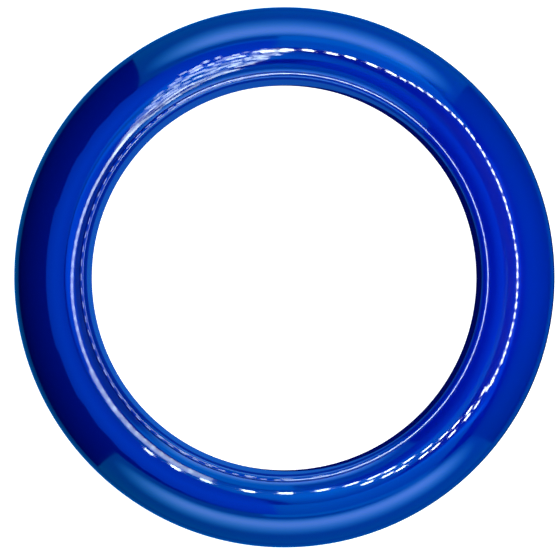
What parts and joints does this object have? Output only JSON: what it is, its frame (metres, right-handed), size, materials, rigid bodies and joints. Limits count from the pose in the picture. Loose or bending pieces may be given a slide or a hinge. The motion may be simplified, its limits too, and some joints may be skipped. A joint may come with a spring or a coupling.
{
  "type": "gymnastic hand ring",
  "caption": "Round hand-held gymnastic ring with a low oval grip, a rounded lip round its opening and a closed core hoop inside.",
  "frame": {"origin": "centre of the ring, in the parting plane of its two shells", "axes": "+Z along the ring's axis towards the front face, +X to the right and +Y up as the front face is seen"},
  "size_m": [0.18, 0.18, 0.016],
  "materials": {
    "shell_plastic": "high gloss moulded royal blue",
    "band_plastic": "high gloss moulded royal blue",
    "core_steel": "drawn bright steel",
    "rivet_aluminium": "satin",
    "sleeve_rubber": "matt black"
  },
  "bodies": {
    "root": {"front_shell": "shell_plastic", "rear_shell": "shell_plastic", "inner_band": "band_plastic", "core_tube": "core_steel", "core_spigot": "core_steel", "core_rivets": "rivet_aluminium", "core_sleeve_1": "sleeve_rubber", "core_sleeve_2": "sleeve_rubber", "core_sleeve_3": "sleeve_rubber", "core_sleeve_4": "sleeve_rubber", "core_sleeve_5": "sleeve_rubber", "core_sleeve_6": "sleeve_rubber", "core_sleeve_7": "sleeve_rubber", "core_sleeve_8": "sleeve_rubber"}
  },
  "joints": []
}
